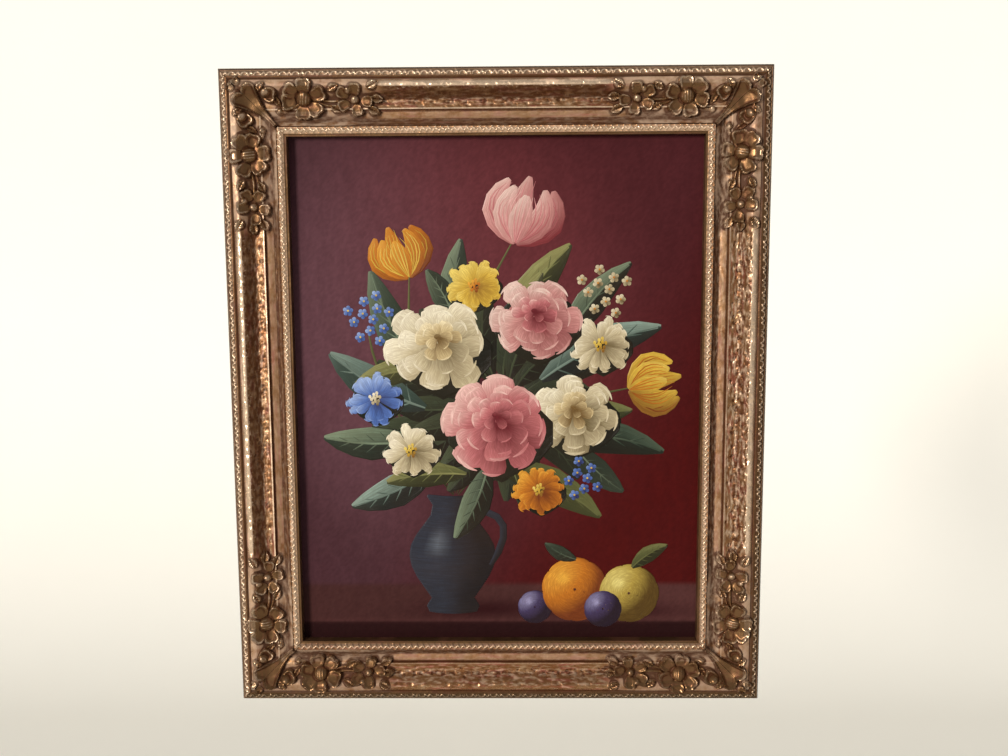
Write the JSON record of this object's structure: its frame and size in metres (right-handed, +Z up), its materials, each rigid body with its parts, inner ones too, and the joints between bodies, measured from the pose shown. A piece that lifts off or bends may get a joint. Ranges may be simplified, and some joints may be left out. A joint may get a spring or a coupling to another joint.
{
  "type": "framed oil painting",
  "caption": "Upright oil painting of flowers on stretched canvas, in a wide gilded wooden frame with carved floral corners, hammered panels and zigzag bands.",
  "frame": {"origin": "middle of the top rail's flat back face, where the frame hangs on the wall", "axes": "+Z up, the picture faces -Y, the flat back plane is y = 0 and its outward normal is +Y, +X to the viewer's right"},
  "size_m": [0.521, 0.0377, 0.6226],
  "materials": {
    "gilding": "worn gold leaf over red clay on carved wood, toned brown, satin",
    "painted_canvas": "oil paint on linen under a satin varnish, mostly deep red",
    "stretcher_wood": "bare planed softwood, matte"
  },
  "bodies": {
    "root": {"rail_top": "gilding", "rail_bottom": "gilding", "rail_left": "gilding", "rail_right": "gilding", "canvas": "painted_canvas", "stretcher_top": "stretcher_wood", "stretcher_bottom": "stretcher_wood", "stretcher_left": "stretcher_wood", "stretcher_right": "stretcher_wood"}
  },
  "joints": []
}
